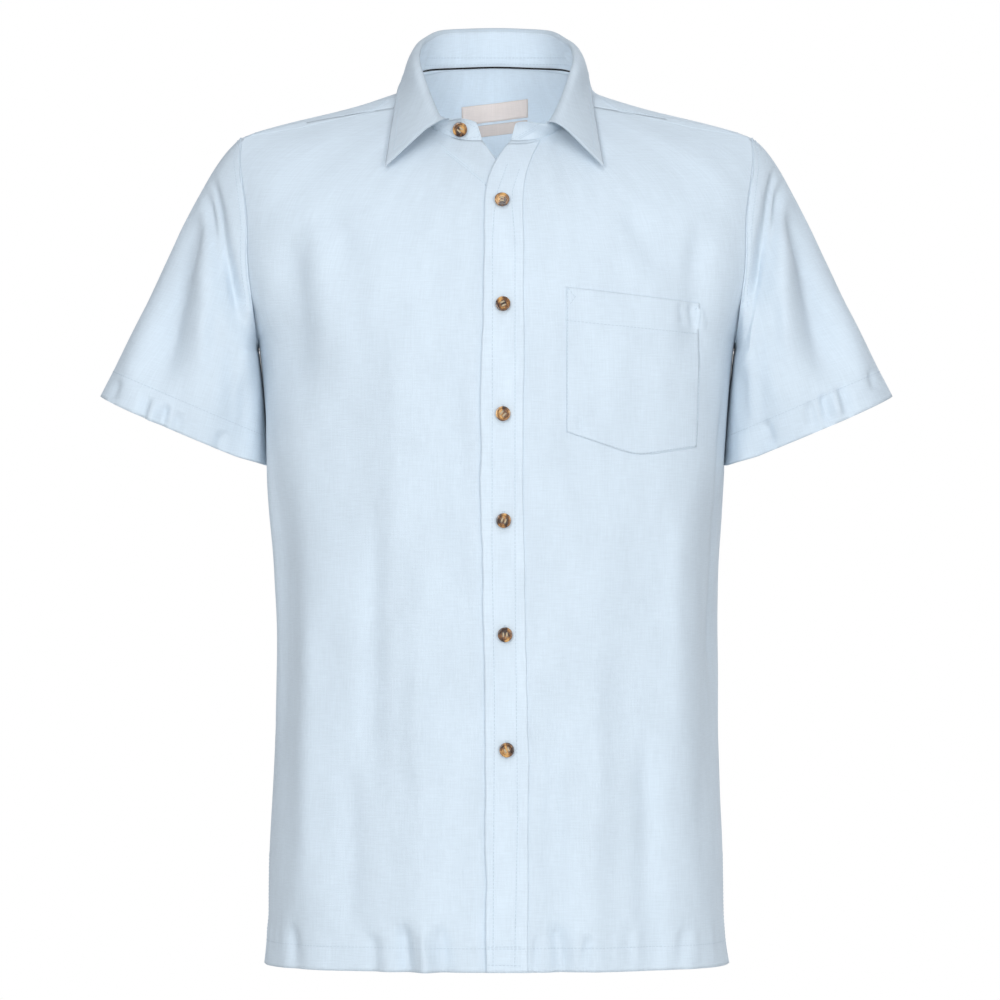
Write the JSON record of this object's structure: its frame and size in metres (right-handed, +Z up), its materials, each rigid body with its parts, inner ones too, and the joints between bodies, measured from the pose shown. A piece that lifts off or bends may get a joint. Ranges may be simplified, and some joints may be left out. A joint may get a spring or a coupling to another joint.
{
  "type": "short-sleeved bush shirt",
  "caption": "Short-sleeved button-front shirt, filled out as worn, with folded collar, back yoke, chest pocket, placket and side vents.",
  "frame": {"origin": "on the middle plane between the shoulders, where the wearer carries the shirt", "axes": "+Z up, the front faces -Y, the wearer's left is at +X"},
  "size_m": [0.689, 0.2632, 0.8175],
  "materials": {
    "linen": "plain woven pale blue linen",
    "button": "tortoiseshell, polished",
    "label": "woven, satin",
    "tape": "black woven tape"
  },
  "bodies": {
    "root": {"front_left": "linen", "front_right": "linen", "back": "linen", "yoke": "linen", "sleeve_left": "linen", "sleeve_right": "linen", "collar_stand": "linen", "collar_leaf": "linen", "placket": "linen", "pocket": "linen", "button_1": "button", "button_2": "button", "button_3": "button", "button_4": "button", "button_5": "button", "button_6": "button", "button_collar": "button", "label": "label", "label_tab": "label", "neck_tape": "tape"}
  },
  "joints": []
}
